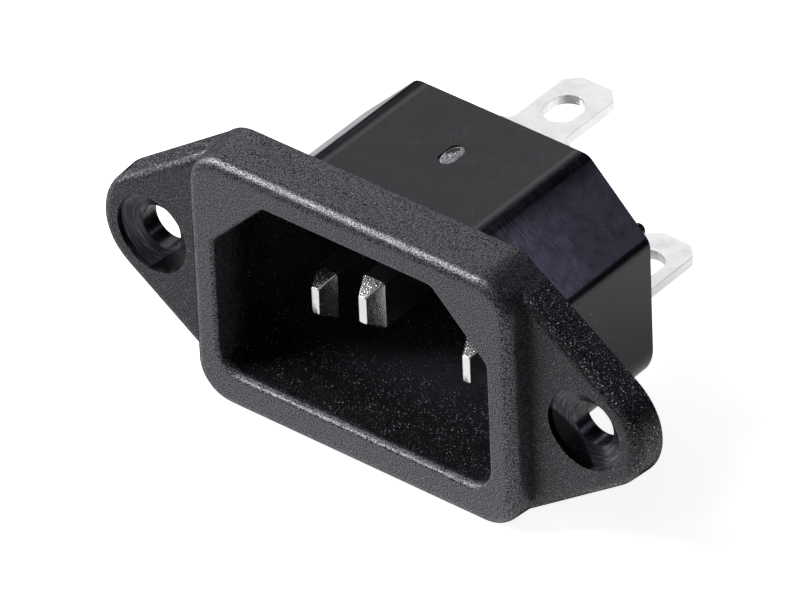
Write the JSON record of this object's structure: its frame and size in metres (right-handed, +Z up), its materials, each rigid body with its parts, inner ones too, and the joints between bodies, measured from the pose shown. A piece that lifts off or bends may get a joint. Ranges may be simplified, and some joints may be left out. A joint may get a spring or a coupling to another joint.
{
  "type": "panel inlet socket",
  "caption": "Screw-fixed C14 panel inlet socket: a flanged black moulding with a keyed cavity, flat contact blades and bent solder lugs at the rear.",
  "frame": {"origin": "centre of the flange's rear face, midway between the two screw holes", "axes": "+X to the right seen from the mating side, along the row of screw holes; +Y through the panel towards the solder lugs; +Z up, the side of the earth contact and of the cavity's cut corners"},
  "size_m": [0.05, 0.0291, 0.0224],
  "materials": {
    "housing": "spark-eroded grain on the flange and cavity, smooth semi-gloss on the rear body",
    "blade": "bright nickel plate on brass",
    "lug": "tin plate on brass sheet"
  },
  "bodies": {
    "root": {"housing": "housing", "earth_blade": "blade", "line_blade": "blade", "neutral_blade": "blade", "earth_lug": "lug", "line_lug": "lug", "neutral_lug": "lug"}
  },
  "joints": []
}
